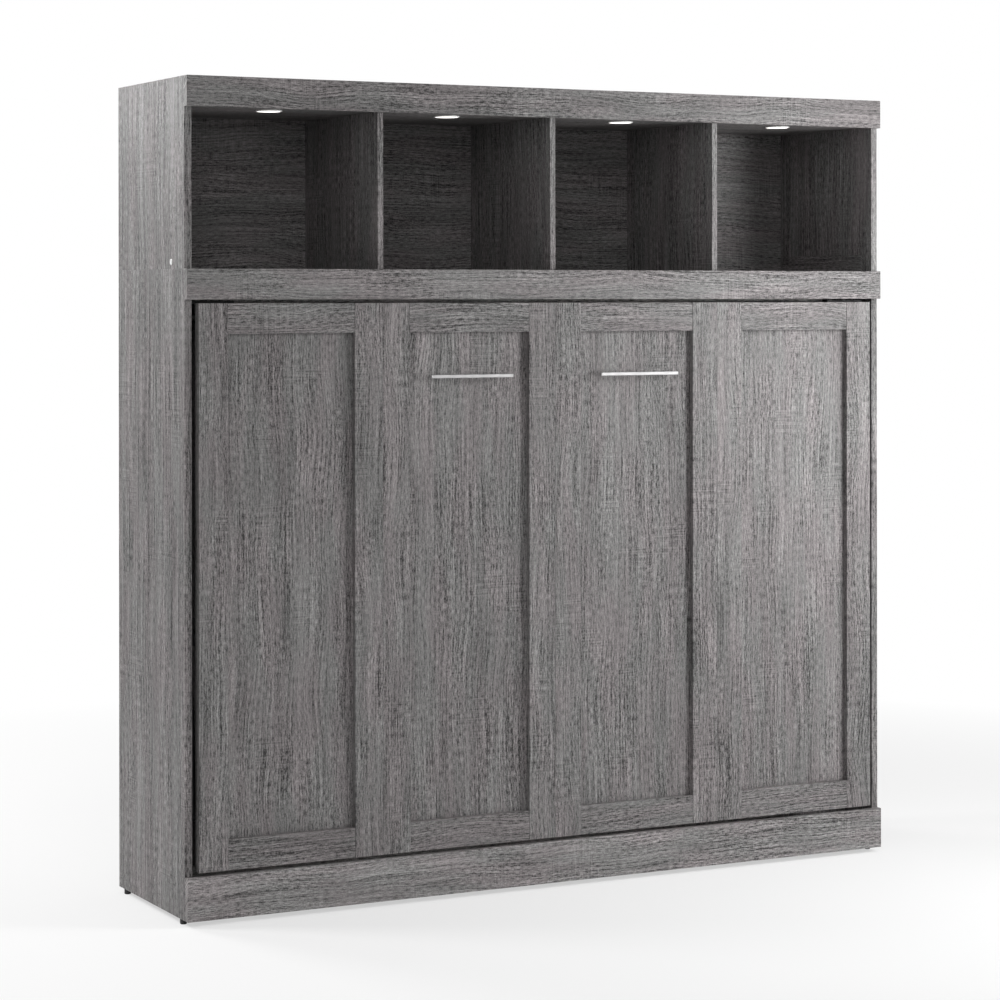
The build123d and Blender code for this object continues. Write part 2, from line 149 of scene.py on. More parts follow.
# ---------------------------------------------------------------- shader helpers
class Shader:
    """A material's node tree, built by short calls that each return an output socket."""

    def __init__(self, name):
        self.material = bpy.data.materials.new(name)
        self.material.use_nodes = True
        self.tree = self.material.node_tree
        self.bsdf = self.tree.nodes["Principled BSDF"]
        self.coords = self.tree.nodes.new("ShaderNodeTexCoord").outputs["Object"]

    def plug(self, socket, value):
        if isinstance(value, bpy.types.NodeSocket):
            self.tree.links.new(value, socket)
        else:
            socket.default_value = value

    def scaled(self, scale, offset=(0, 0, 0), source=None):
        node = self.tree.nodes.new("ShaderNodeMapping")
        node.inputs["Scale"].default_value = scale
        self.plug(node.inputs["Location"], offset)
        self.plug(node.inputs["Vector"], source or self.coords)
        return node.outputs["Vector"]

    def noise(self, vector, detail=2.0, roughness=0.5, distortion=0.0):
        node = self.tree.nodes.new("ShaderNodeTexNoise")
        self.plug(node.inputs["Vector"], vector)
        node.inputs["Scale"].default_value = 1.0
        node.inputs["Detail"].default_value = detail
        node.inputs["Roughness"].default_value = roughness
        node.inputs["Distortion"].default_value = distortion
        return node.outputs["Fac"]

    def even_noise(self, cells, offset=(0, 0, 0), **values):
        """Noise with the same number of cells per metre in every direction."""
        return self.noise(self.scaled((cells, cells, cells), offset), **values)

    def grains(self, cells):
        """Distance to the nearest of scattered points, cells of them per metre."""
        node = self.tree.nodes.new("ShaderNodeTexVoronoi")
        self.plug(node.inputs["Vector"], self.scaled((cells, cells, cells)))
        node.inputs["Scale"].default_value = 1.0
        return node.outputs["Distance"]

    def math(self, operation, a, b=0.0, c=None):
        node = self.tree.nodes.new("ShaderNodeMath")
        node.operation = operation
        self.plug(node.inputs[0], a)
        self.plug(node.inputs[1], b)
        if c is not None:
            self.plug(node.inputs[2], c)
        return node.outputs[0]

    def swing(self, value, period):
        """A sine along value that repeats every period."""
        return self.math("SINE", self.math("MULTIPLY", value, 2 * math.pi / period))

    def add_mark(self, level, mark, amount):
        """level moved by a mark that runs from 0 to 1, amount from one end to the other."""
        return self.math("MULTIPLY_ADD", self.math("SUBTRACT", mark, 0.5), amount, level)

    def remap(self, value, low, high, to_low=0.0, to_high=1.0):
        node = self.tree.nodes.new("ShaderNodeMapRange")
        self.plug(node.inputs["Value"], value)
        self.plug(node.inputs["From Min"], low)
        self.plug(node.inputs["From Max"], high)
        self.plug(node.inputs["To Min"], to_low)
        self.plug(node.inputs["To Max"], to_high)
        return node.outputs["Result"]

    def mix(self, factor, a, b, blend="MIX"):
        node = self.tree.nodes.new("ShaderNodeMix")
        node.data_type = "RGBA"
        node.blend_type = blend
        self.plug(node.inputs[0], factor)
        self.plug(node.inputs[6], a)
        self.plug(node.inputs[7], b)
        return node.outputs[2]

    def split(self, vector):
        node = self.tree.nodes.new("ShaderNodeSeparateXYZ")
        self.plug(node.inputs[0], vector)
        return node.outputs

    def join(self, x, y, z):
        node = self.tree.nodes.new("ShaderNodeCombineXYZ")
        for socket, value in zip(node.inputs, (x, y, z)):
            self.plug(socket, value)
        return node.outputs[0]

    def faces_y(self, low, high):
        """1 where the surface faces front or back, 0 where it faces sideways, up or down."""
        normal = self.tree.nodes.new("ShaderNodeTexCoord").outputs["Normal"]
        return self.remap(self.math("ABSOLUTE", self.split(normal)[1]), low, high)

    def bump(self, height, strength, distance):
        node = self.tree.nodes.new("ShaderNodeBump")
        node.inputs["Strength"].default_value = strength
        node.inputs["Distance"].default_value = distance
        self.plug(node.inputs["Height"], height)
        self.plug(self.bsdf.inputs["Normal"], node.outputs["Normal"])

    def surface(self, **values):
        for name, value in values.items():
            title = name.replace("_", " ").title().replace("Ior", "IOR")
            self.plug(self.bsdf.inputs[title], value)
        return self.material


# ---------------------------------------------------------------- laminate
# the print's noises: cells per metre across and along the grain, offset, detail, roughness
PRINT = {
    "bend": ((2.5, 2.2, 1), (0, 0, 0), 1, 0.5),
    "ripple": ((28, 12, 1), (5, 2, 0), 1, 0.5),
    "lean": ((0.8, 3.2, 1), (9, 6, 0), 1, 0.5),
    "pores": ((340, 62, 1), (0, 0, 0), 0, 0.5),
    "fibre": ((380, 210, 1), (7, 3, 0), 1, 0.5),
    "streak": ((250, 5, 1), (2, 8, 0), 1, 0.6),
    "ribbon": ((105, 1.6, 1), (4, 9, 0), 2, 0.6),
    "plank": ((34, 0.7, 1), (1, 4, 0), 2, 0.6),
    "cloud": ((6, 2.2, 1), (6, 1, 0), 2, 0.5),
    "warm": ((15, 3.2, 1), (3, 5, 0), 2, 0.5),
    "busy": ((13, 3.5, 1), (8, 8, 0), 1, 0.5),
    "saw": ((11, 270, 1), (3, 3, 0), 0, 0.5),
    "strip": ((1.9, 0.12, 1), (4, 7, 0), 1, 0.5),
}
# how much each of them moves the tone
PORES, FIBRE, STREAK = 1.6, 1.6, 2.2
RIBBON, PLANK, CLOUD, STRIP = 0.85, 0.42, 0.14, 0.75
SAW = 0.95
DARKEST = 0.15
BEND_REACH, RIPPLE_REACH, LEAN_REACH = 0.055, 0.004, 0.030     # metres that the grain strays
MIRROR_TURNS = 33.0            # radians per metre between chevrons
STRIPS = 19.0                  # strips per metre across the grain
STRIP_STEP, STRIP_RUN = 0.37, 5.0
PIECE_SHIFT, SEED_SHIFT, ALONG_SHIFT = 2.37, 0.71, 1.9
GREEN_GREY = (0.160, 0.157, 0.155, 1)
MAUVE_GREY = (0.169, 0.156, 0.157, 1)


def laminate(name, grain, seed, cells=None, lightness=1.0, bold=1.0):
    """Dark grey oak print: fine dashed pores that follow bent grain, saw marks in patches, planks
    of slightly different tone. grain is the axis that the grain runs along, seed shifts the print,
    cells (start, pitch) gives each separate strip of a grouped node its own part of the print,
    lightness scales how light the whole print is drawn, which is painted light where it lightens
    a shaded piece, and bold strengthens its long streaks."""
    s = Shader(name)

    def layer(kind, source):
        scale, offset, detail, roughness = PRINT[kind]
        return s.noise(s.scaled(scale, offset, source), detail=detail, roughness=roughness)

    x, y, z = s.split(s.coords)
    along, across, depth = {"Z": (z, x, y), "X": (x, z, y), "Y": (y, x, z)}[grain]
    if cells:
        cell = s.math("FLOOR", s.math("DIVIDE", s.math("SUBTRACT", x, cells[0]), cells[1]))
    else:
        cell = 0.0
    shift = s.math("MULTIPLY_ADD", cell, PIECE_SHIFT, seed * SEED_SHIFT)
    u = s.math("ADD", s.math("ADD", across, depth), shift)
    v = s.math("ADD", along, s.math("MULTIPLY", shift, ALONG_SHIFT))
    plane = s.join(u, v, 0.0)

    # slow bends of the grain, so that streaks lean and meet in long chevrons
    ripple = layer("ripple", plane)
    turns = s.math("MULTIPLY_ADD", u, MIRROR_TURNS, s.math("MULTIPLY", ripple, 1.5))
    lean = s.math("SUBTRACT", layer("lean", plane), 0.5)
    bent = s.add_mark(u, layer("bend", plane), BEND_REACH)
    bent = s.add_mark(bent, ripple, RIPPLE_REACH)
    chevron = s.math("MULTIPLY", lean, s.math("SINE", turns))
    bent = s.math("MULTIPLY_ADD", chevron, LEAN_REACH, bent)
    flow = s.join(bent, v, 0.0)

    # straight-edged strips, some of them with saw marks across the grain
    step = s.math("MULTIPLY", s.math("FLOOR", s.math("MULTIPLY", u, STRIPS)), STRIP_STEP)
    block = s.join(step, s.math("MULTIPLY", v, STRIP_RUN), 0.0)
    saw_zone = s.remap(s.noise(block, detail=1), 0.57, 0.66)
    saw_mark = s.math("MULTIPLY", s.math("SUBTRACT", layer("saw", plane), 0.5), saw_zone)

    pores = layer("pores", flow)
    grain_mark = s.add_mark(0.0, pores, PORES)
    grain_mark = s.add_mark(grain_mark, layer("fibre", flow), FIBRE)
    grain_mark = s.add_mark(grain_mark, layer("streak", flow), STREAK)
    busy = s.remap(layer("busy", plane), 0.38, 0.62, 0.75, 1.25)
    level = s.math("MULTIPLY_ADD", grain_mark, busy, 1.0)
    level = s.add_mark(level, layer("ribbon", flow), RIBBON * bold)
    level = s.add_mark(level, layer("plank", plane), PLANK)
    level = s.add_mark(level, layer("cloud", plane), CLOUD)
    level = s.add_mark(level, layer("strip", block), STRIP)
    level = s.math("MAXIMUM", s.math("MULTIPLY_ADD", saw_mark, SAW, level), DARKEST)
    # scales the whole print lighter or darker; where a shaded piece is made lighter, this is
    # painted light
    level = s.math("MULTIPLY", level, lightness)

    base = s.mix(s.remap(layer("warm", plane), 0.40, 0.60), GREEN_GREY, MAUVE_GREY)
    colour = s.mix(1.0, base, s.join(level, level, level), "MULTIPLY")
    s.bump(s.math("ADD", pores, s.math("MULTIPLY", saw_mark, 0.6)), 0.3, 0.0004)
    rough = s.remap(pores, 0.3, 0.7, 0.62, 0.48)
    return s.surface(base_color=colour, roughness=rough, specular_ior_level=0.3)


# ---------------------------------------------------------------- steel, plastic, wood and cloth
def powder_coat():
    s = Shader("black_powder_coat")
    peel = s.even_noise(700)
    dust = s.noise(s.scaled((14, 14, 9)), detail=4, roughness=0.7)
    s.bump(peel, 0.25, 0.0002)
    colour = s.mix(s.remap(dust, 0.35, 0.75), (0.016, 0.016, 0.018, 1), (0.032, 0.032, 0.034, 1))
    rough = s.remap(dust, 0.3, 0.7, 0.40, 0.58)
    return s.surface(base_color=colour, roughness=rough, specular_ior_level=0.5)


def metal(name, dark, light, scale, rough, relief=0.08):
    """Bare or plated metal: its marks are long on the axis where scale, in cells per metre, is
    small, and rough is from where they are lightest to where they are darkest."""
    s = Shader(name)
    marks = s.noise(s.scaled(scale), detail=3, roughness=0.7)
    bloom = s.even_noise(60, (3, 1, 2), detail=3)
    s.bump(marks, relief, 0.0002)
    tint = s.math("MULTIPLY_ADD", marks, 0.5, s.math("MULTIPLY", bloom, 0.5))
    colour = s.mix(s.remap(tint, 0.35, 0.65), (*dark, 1), (*light, 1))
    roughness = s.remap(tint, 0.3, 0.7, rough[1], rough[0])
    return s.surface(base_color=colour, metallic=1.0, roughness=roughness)


def plastic(name, dark, light, grain, rough, relief):
    """Moulded plastic or rubber with a fine spark-eroded grain and a little dust."""
    s = Shader(name)
    cloud = s.even_noise(35, detail=3)
    s.bump(s.grains(grain), relief, 0.0003)
    colour = s.mix(s.remap(cloud, 0.3, 0.7), (*dark, 1), (*light, 1))
    return s.surface(base_color=colour, roughness=s.remap(cloud, 0.3, 0.7, rough[0], rough[1]))


def lit_diffuser():
    """Frosted lens over LEDs: white all over, a shade warmer between its moulded cells."""
    s = Shader("lit_diffuser")
    cells = s.grains(420)
    s.bump(cells, 0.3, 0.0003)
    glow = s.mix(s.remap(cells, 0.1, 0.8), (1.0, 0.985, 0.955, 1), (1.0, 0.96, 0.90, 1))
    s.plug(s.bsdf.inputs["Emission Color"], glow)
    s.bsdf.inputs["Emission Strength"].default_value = 2.0
    return s.surface(base_color=glow, roughness=0.4)


SLAT_PITCH = 0.146
PLY_PERIOD = 0.0028


def birch_ply():
    """Clear-lacquered birch face veneer along Z, with the plies showing on every cut edge."""
    s = Shader("birch_ply")
    x, y, z = s.split(s.coords)
    board = s.math("ROUND", s.math("DIVIDE", x, SLAT_PITCH))
    across = s.math("MULTIPLY_ADD", board, 1.7, x)
    along = s.math("MULTIPLY_ADD", board, 0.9, z)
    flow = s.join(across, along, 0.0)
    bend = s.noise(s.scaled((9, 1.6, 1), source=flow), detail=2)
    bent = s.join(s.math("MULTIPLY_ADD", bend, 0.03, across), along, 0.0)
    figure = s.noise(s.scaled((140, 3, 1), source=bent), detail=3, roughness=0.6)
    flecks = s.noise(s.scaled((900, 60, 1), source=flow), detail=1)
    face = s.mix(s.remap(figure, 0.3, 0.7), (0.66, 0.50, 0.33, 1), (0.53, 0.37, 0.215, 1))
    face = s.mix(s.remap(flecks, 0.55, 0.75, 0.0, 0.35), face, (0.40, 0.26, 0.14, 1))
    plies = s.remap(s.swing(y, PLY_PERIOD), -0.3, 0.3)
    edge = s.mix(plies, (0.56, 0.40, 0.24, 1), (0.26, 0.16, 0.085, 1))
    edge = s.mix(s.remap(flecks, 0.3, 0.8, 0.0, 0.4), edge, (0.20, 0.12, 0.06, 1))
    s.bump(figure, 0.15, 0.0003)
    colour = s.mix(s.faces_y(0.4, 0.6), edge, face)
    return s.surface(base_color=colour, roughness=s.remap(figure, 0.3, 0.7, 0.34, 0.5))


COURSE_X, COURSE_Z = 0.0024, 0.0018      # the knit's stitches
RIB_PERIOD = 0.008                       # ribs of the mattress's border
STITCHES = 22                            # quilting stitches in one pitch


def ticking():
    """Knitted ticking: fine courses, a faint tone-on-tone leaf, and grey stitches down the
    quilting lines. The border is plainer, with fine ribs up and down."""
    s = Shader("mattress_ticking")
    x, y, z = s.split(s.coords)
    courses = s.math("MULTIPLY", s.swing(x, COURSE_X), s.swing(s.math("ADD", z, y), COURSE_Z))
    damask = s.even_noise(38, detail=1, distortion=2.5)
    leaf = s.remap(s.math("PINGPONG", s.math("MULTIPLY", damask, 6.0), 1.0), 0.35, 0.65)
    lint = s.even_noise(500, detail=3, roughness=0.7)
    cloud = s.even_noise(3, detail=3)
    colour = s.mix(leaf, (0.57, 0.56, 0.535, 1), (0.65, 0.64, 0.615, 1))
    colour = s.mix(s.remap(lint, 0.3, 0.7, 0.0, 0.35), colour, (0.50, 0.49, 0.465, 1))
    colour = s.mix(s.remap(cloud, 0.4, 0.7, 0.0, 0.25), colour, (0.55, 0.53, 0.49, 1))

    low = quilted_area()[0]
    cell_x, cell_z = quilt_cell()
    across = s.math("DIVIDE", s.math("SUBTRACT", x, low.x), cell_x * QUILT_CELLS)
    along = s.math("DIVIDE", s.math("SUBTRACT", z, low.z), cell_z * QUILT_CELLS)
    sloping = s.math("ADD", across, along), s.math("SUBTRACT", across, along)
    marks = []
    for line, other in (sloping, sloping[::-1]):
        near = s.remap(s.math("PINGPONG", line, 0.5), 0.010, 0.016, 1.0, 0.0)
        dash = s.remap(s.swing(other, 1 / STITCHES), -0.5, -0.2)
        marks.append(s.math("MULTIPLY", near, dash))
    flat = s.faces_y(0.6, 0.8)
    stitch = s.math("MULTIPLY", s.math("MULTIPLY", s.math("MAXIMUM", *marks), flat), 0.55)
    colour = s.mix(stitch, colour, (0.30, 0.30, 0.31, 1))
    ribs = s.remap(s.swing(s.math("ADD", x, z), RIB_PERIOD), -1, 1, 0.0, 0.30)
    border = s.math("MULTIPLY", s.math("SUBTRACT", 1.0, flat), ribs)
    colour = s.mix(border, colour, (0.42, 0.42, 0.42, 1))
    knit = s.math("MULTIPLY_ADD", leaf, 0.8, s.math("MULTIPLY_ADD", courses, 0.5, lint))
    s.bump(knit, 0.5, 0.0006)
    return s.surface(base_color=colour, roughness=0.92, sheen_weight=0.15, specular_ior_level=0.2)


TWIST_PERIOD = 0.006


def edge_tape():
    """Twisted piping cord in a grey binding."""
    s = Shader("mattress_edge_tape")
    x, y, z = s.split(s.coords)
    slope = s.math("ADD", s.math("ADD", x, z), s.math("MULTIPLY", y, 0.8))
    twist = s.swing(slope, TWIST_PERIOD)
    lint = s.even_noise(700)
    colour = s.mix(s.remap(twist, -0.6, 0.8), (0.20, 0.20, 0.21, 1), (0.36, 0.36, 0.37, 1))
    colour = s.mix(s.remap(lint, 0.3, 0.7, 0.0, 0.3), colour, (0.45, 0.45, 0.45, 1))
    s.bump(s.math("MULTIPLY_ADD", lint, 0.4, twist), 0.6, 0.0006)
    return s.surface(base_color=colour, roughness=0.85, specular_ior_level=0.25)


WEFT_PERIOD, WARP_PERIOD = 0.0032, 0.0021


def webbing():
    """Black elastic webbing: ribs across it and fine warp threads along it, round both bends."""
    s = Shader("strap_webbing")
    x, y, z = s.split(s.coords)
    low, high = box_corners("mattress_straps")
    side = s.math("SIGN", s.math("SUBTRACT", z, (low.z + high.z) / 2))
    along = s.math("SUBTRACT", z, s.math("MULTIPLY", side, y))
    fuzz = s.math("MULTIPLY", s.even_noise(800), 0.8)
    weave = s.math("MULTIPLY_ADD", s.swing(along, WEFT_PERIOD), s.swing(x, WARP_PERIOD), fuzz)
    colour = s.mix(s.remap(weave, -0.5, 1.2), (0.018, 0.018, 0.020, 1), (0.075, 0.075, 0.080, 1))
    s.bump(weave, 0.6, 0.0005)
    return s.surface(base_color=colour, roughness=0.75, specular_ior_level=0.3)


# ---------------------------------------------------------------- finishes of the CAD nodes
UPRIGHT = ["cabinet_side_left", "cabinet_side_right", "hutch_side_left", "hutch_side_right",
           "hutch_divider_1", "hutch_divider_2", "hutch_divider_3", "face_stiles",
           "face_field_1", "face_field_2", "face_field_3", "face_field_4",
           "bed_end_rail_left", "bed_end_rail_right"]
LEVEL = ["base_rail", "belt_rail", "top_fascia", "face_rails", "hutch_back_panel", "hutch_soffit",
         "hutch_top_panel", "cabinet_top_panel", "base_rail_batten", "belt_batten",
         "lower_back_rail", "upper_wall_rail", "bed_top_rail", "bed_bottom_rail", "centre_beam",
         "slat_ledgers"]
LEVEL_SEED, CLEAT_SEED = 31, 70
# how much lighter or darker the print is drawn on some nodes, and strength of its long streaks
# belt_batten's 2.8 is painted light: the batten sits in a narrow gap where little light reaches,
# so its print is drawn nearly three times lighter to stand in for that light
PRINT_LIGHTNESS = {"base_rail": 1.28, "face_rails": 0.95, "belt_batten": 2.8}
BOLD = {"cabinet_side_left": 2.4, "hutch_side_left": 2.4,
        "cabinet_side_right": 1.6, "hutch_side_right": 1.6}

# nodes: name, dark and light tone, marks per metre on each axis, least and most roughness, relief
METALS = {
    "connector_bolts": ("bright_nickel", (0.84, 0.84, 0.84), (0.93, 0.93, 0.92),
                        (300, 300, 300), (0.34, 0.5)),
    "strut_rod_left strut_rod_right": ("hard_chrome", (0.74, 0.75, 0.77), (0.86, 0.86, 0.87),
                                       (900, 900, 30), (0.07, 0.16)),
    "handle_left handle_right": ("satin_nickel", (0.42, 0.416, 0.42), (0.52, 0.515, 0.516),
                                 (40, 1800, 1800), (0.52, 0.66), 0.2),
    "pivot_bushes": ("oiled_bronze", (0.36, 0.22, 0.10), (0.58, 0.38, 0.19),
                     (400, 400, 400), (0.3, 0.5)),
}
# nodes: name, dark and light tone, grains per metre, least and most roughness, relief
PLASTICS = {
    "levelling_glides": ("black_plastic", (0.016, 0.016, 0.017), (0.028, 0.028, 0.03),
                         900, (0.4, 0.55), 0.3),
    "bed_stops leg_foot_left leg_foot_right": ("black_rubber", (0.022, 0.022, 0.022),
                                               (0.045, 0.044, 0.043), 1300, (0.75, 0.92), 0.5),
    "led_puck_housings": ("white_plastic", (0.78, 0.78, 0.77), (0.86, 0.86, 0.85),
                          1100, (0.32, 0.45), 0.15),
}
BUCKLE_PLASTIC = ("buckle_plastic", (0.018, 0.018, 0.019), (0.03, 0.03, 0.032),
                  900, (0.35, 0.5), 0.3)
POWDER_COATED = ("pivot_plates leg_brackets strut_top_studs leg_left leg_right "
                 "strut_cylinder_left strut_cylinder_right")
ZINC_PLATED = "pivot_pins strut_base_studs leg_pins panel_screws handle_screws strap_plates"
zinc = metal("zinc_plate", (0.50, 0.51, 0.50), (0.72, 0.72, 0.70), (300, 300, 300), (0.22, 0.42))


def paint(names, material):
    """Give a material to every slot of the CAD nodes named, with spaces between, in names."""
    for name in names.split():
        slots = nodes[name].data.materials
        if not len(slots):
            slots.append(material)
        for index in range(len(slots)):
            slots[index] = material


def finish_cad_nodes():
    face_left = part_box("face_stiles")[0][0]
    half_panel = -face_left / 4
    separate = {"face_stiles": (face_left, half_panel), "face_rails": (face_left, 2 * half_panel)}
    for grain, names, seed in (("Z", UPRIGHT, 1), ("X", LEVEL, LEVEL_SEED)):
        for index, name in enumerate(names):
            paint(name, laminate("laminate_" + name, grain, index + seed, separate.get(name),
                                 PRINT_LIGHTNESS.get(name, 1.0), BOLD.get(name, 1.0)))
    for name in ("hutch_cleat_left", "hutch_cleat_right"):
        paint(name, laminate("laminate_" + name, "Y", CLEAT_SEED))
    paint(POWDER_COATED, powder_coat())
    paint(ZINC_PLATED, zinc)
    for names, values in METALS.items():
        paint(names, metal(*values))
    for names, values in PLASTICS.items():
        paint(names, plastic(*values))
    paint("slats", birch_ply())
    paint("led_puck_lenses", lit_diffuser())


# ---------------------------------------------------------------- mesh helpers
def smooth(mesh, on=True):
    for face in mesh.polygons:
        face.use_smooth = on


def add_piece(name, points, faces, body, material):
    mesh = bpy.data.meshes.new(name)
    mesh.from_pydata([tuple(p) for p in points], [], faces)
    mesh.materials.append(material)
    mesh.update()
    smooth(mesh)
    piece = bpy.data.objects.new(name, mesh)
    bpy.context.scene.collection.objects.link(piece)
    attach(piece, body)
    return piece


def outward(mesh):
    """Faces of a closed mesh turned to look outwards."""
    bm = bmesh.new()
    bm.from_mesh(mesh)
    bmesh.ops.recalc_face_normals(bm, faces=bm.faces)
    bm.to_mesh(mesh)
    bm.free()


def append_part(points, faces, part):
    """Add another part's points and faces to the lists of a mesh."""
    more, sides = part
    faces += [[k + len(points) for k in side] for side in sides]
    points += more


def eased(t):
    return t * t * (3 - 2 * t)


# ---------------------------------------------------------------- mattress
SWELL = 0.008            # how far the cover may puff out between its two piped rims
CORNER = 0.045           # radius of the mattress's four corners, seen from above
GRID_X, GRID_Y, GRID_Z = 94, 8, 68
RIM_BAND = 0.003         # points this near the rim are held by the piping
QUILT_CELLS = 14         # quilting pitch in cells of the grid after it is divided in two
QUILT_DEEP = 0.007
QUILT_REACH = 0.42       # share of the pitch over which a diamond rises from its stitches
QUILT_CROWN = 2.6
BASE_SHARE = 0.4         # the underside's quilting is this much shallower
RIM_FADE = 0.05          # quilting starts this far inside the rim
STRAP_DENT = 0.006
STRAP_DENT_REACH = 0.07
SURFACE_BAND = 0.002
CLEARANCE = 0.0005
CLOTH_FRAMES = 20
CLOTH_PRESSURE = 4.0
CLOTH_STIFFNESS, CLOTH_BENDING, CLOTH_MASS, CLOTH_QUALITY = 25, 4, 0.4, 5
PIPING_RADIUS = 0.0045
PIPING_SIDES = 12
PIPING_DROP = 0.003      # from the cover's flat to the middle of the cord
PIPING_RUN = 0.06
CORNER_STEPS = 10


def quilted_area():
    low, high = box_corners("mattress")
    inset = Vector((SWELL, SWELL, SWELL))
    return low + inset, high - inset


def quilt_cell():
    low, high = quilted_area()
    return (high.x - low.x) / GRID_X / 2, (high.z - low.z) / GRID_Z / 2


def rim_gap(place, low, high):
    """How far a point lies inside the mattress's outline, seen square on to its top."""
    dx = max(low.x + CORNER - place.x, place.x - high.x + CORNER, 0.0)
    dz = max(low.z + CORNER - place.z, place.z - high.z + CORNER, 0.0)
    if dx and dz:
        return CORNER - math.hypot(dx, dz)
    return min(place.x - low.x, high.x - place.x, place.z - low.z, high.z - place.z)


def mattress_shell(low, high):
    """A closed box of even quads with four rounded corners, as lists of points and faces."""
    size, steps = high - low, (GRID_X, GRID_Y, GRID_Z)
    index, points, faces = {}, [], []

    def corner(key):
        if key not in index:
            index[key] = len(points)
            place = Vector([low[a] + size[a] * key[a] / steps[a] for a in range(3)])
            middle = Vector((min(max(place.x, low.x + CORNER), high.x - CORNER), place.y,
                             min(max(place.z, low.z + CORNER), high.z - CORNER)))
            away = place - middle
            if away.x and away.z:
                place = middle + away.normalized() * max(abs(away.x), abs(away.z))
            points.append(place)
        return index[key]

    for axis in range(3):
        first, second = [a for a in range(3) if a != axis]
        for end in (0, steps[axis]):
            for a in range(steps[first]):
                for b in range(steps[second]):
                    quad = []
                    for da, db in ((0, 0), (1, 0), (1, 1), (0, 1)):
                        key = [0, 0, 0]
                        key[axis], key[first], key[second] = end, a + da, b + db
                        quad.append(corner(tuple(key)))
                    faces.append(quad)
    return points, faces


def puff(cover, low, high):
    """Cloth under pressure, held along both piped rims; each point moves at most SWELL."""
    rims = [v.index for v in cover.data.vertices
            if min(abs(v.co.y - low.y), abs(v.co.y - high.y)) < 1e-5
            and rim_gap(v.co, low, high) < RIM_BAND]
    cover.vertex_groups.new(name="rims").add(rims, 1.0, "REPLACE")
    cloth = cover.modifiers.new("cloth", "CLOTH")
    settings = cloth.settings
    settings.quality = CLOTH_QUALITY
    settings.mass = CLOTH_MASS
    settings.tension_stiffness = settings.compression_stiffness = CLOTH_STIFFNESS
    settings.bending_stiffness = CLOTH_BENDING
    settings.use_pressure = True
    settings.uniform_pressure_force = CLOTH_PRESSURE
    settings.effector_weights.gravity = 0
    settings.vertex_group_mass = "rims"
    cloth.collision_settings.use_collision = False
    scene = bpy.context.scene
    for step in range(1, CLOTH_FRAMES + 1):
        scene.frame_set(step)
    swollen = cover.evaluated_get(bpy.context.evaluated_depsgraph_get()).to_mesh()
    moves = [new.co - old.co for old, new in zip(cover.data.vertices, swollen.vertices)]
    for v, move in zip(cover.data.vertices, moves):
        v.co += move * min(1.0, SWELL / max(move.length, 1e-9))
    cover.modifiers.remove(cloth)
    scene.frame_set(1)


def quilt_height(x, z, low, cell):
    """0 on a quilting line, 1 in the middle of a diamond."""
    a, b = (x - low.x) / cell[0] / QUILT_CELLS, (z - low.z) / cell[1] / QUILT_CELLS
    height = 1.0
    for line in (a + b, a - b):
        near = abs(line - round(line))
        height *= 1 - (1 - min(1.0, near / QUILT_REACH)) ** QUILT_CROWN
    return height


def quilt(mesh, low, high):
    """Divide the cover once, sink its quilting lines and the two straps' beds, and keep it
    inside the CAD mattress."""
    bm = bmesh.new()
    bm.from_mesh(mesh)
    bmesh.ops.subdivide_edges(bm, edges=bm.edges, cuts=1, use_grid_fill=True)
    box_low, box_high = box_corners("mattress")
    strap_x = strap_middle()
    cell = quilt_cell()
    for v in bm.verts:
        fade = eased(min(1.0, max(0.0, rim_gap(v.co, low, high)) / RIM_FADE))
        dent = QUILT_DEEP * (1 - quilt_height(v.co.x, v.co.z, low, cell)) * fade
        if v.co.y > high.y - SURFACE_BAND:
            beside = max(0.0, abs(abs(v.co.x) - strap_x) - STRAP_WIDTH / 2)
            press = max(0.0, 1 - beside / STRAP_DENT_REACH) ** 2
            v.co.y -= max(dent, STRAP_DENT * press * fade)
        elif v.co.y < low.y + SURFACE_BAND:
            v.co.y += dent * BASE_SHARE
        for axis in range(3):
            least, most = box_low[axis] + CLEARANCE, box_high[axis] - CLEARANCE
            v.co[axis] = min(max(v.co[axis], least), most)
    bm.to_mesh(mesh)
    bm.free()
    smooth(mesh)


def make_mattress():
    low, high = quilted_area()
    points, faces = mattress_shell(low, high)
    cover = add_piece("mattress_cover", points, faces, "bed", ticking())
    outward(cover.data)
    puff(cover, low, high)
    quilt(cover.data, low, high)
    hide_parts("mattress")

    tape = edge_tape()
    make_piping("mattress_piping_top", low, high, high.y - PIPING_DROP, tape)
    make_piping("mattress_piping_base", low, high, low.y + PIPING_DROP, tape)
    return cover


def make_piping(name, low, high, y, material):
    """A round cord sewn along the mattress's rim."""
    inner_low_x, inner_high_x = low.x + CORNER, high.x - CORNER
    inner_low_z, inner_high_z = low.z + CORNER, high.z - CORNER
    path = []
    for x, z, start in ((inner_high_x, inner_high_z, 0), (inner_low_x, inner_high_z, 90),
                        (inner_low_x, inner_low_z, 180), (inner_high_x, inner_low_z, 270)):
        for step in range(CORNER_STEPS + 1):
            angle = math.radians(start + 90 / CORNER_STEPS * step)
            path.append(Vector((x + CORNER * math.cos(angle), y, z + CORNER * math.sin(angle))))
    runs = []
    for i, place in enumerate(path):
        after = path[(i + 1) % len(path)]
        pieces = max(1, round((after - place).length / PIPING_RUN))
        runs += [place.lerp(after, k / pieces) for k in range(pieces)]
    sides, count, up = PIPING_SIDES, len(runs), Vector((0, 1, 0))
    points, faces = [], []
    for i, place in enumerate(runs):
        out = (runs[(i + 1) % count] - runs[i - 1]).normalized().cross(up)
        here, there = i * sides, (i + 1) % count * sides
        for k in range(sides):
            angle = 2 * math.pi * k / sides
            ray = out * math.cos(angle) + up * math.sin(angle)
            points.append(place + ray * PIPING_RADIUS)
            beside = (k + 1) % sides
            faces.append((here + k, here + beside, there + beside, there + k))
    outward(add_piece(name, points, faces, "bed", material).data)


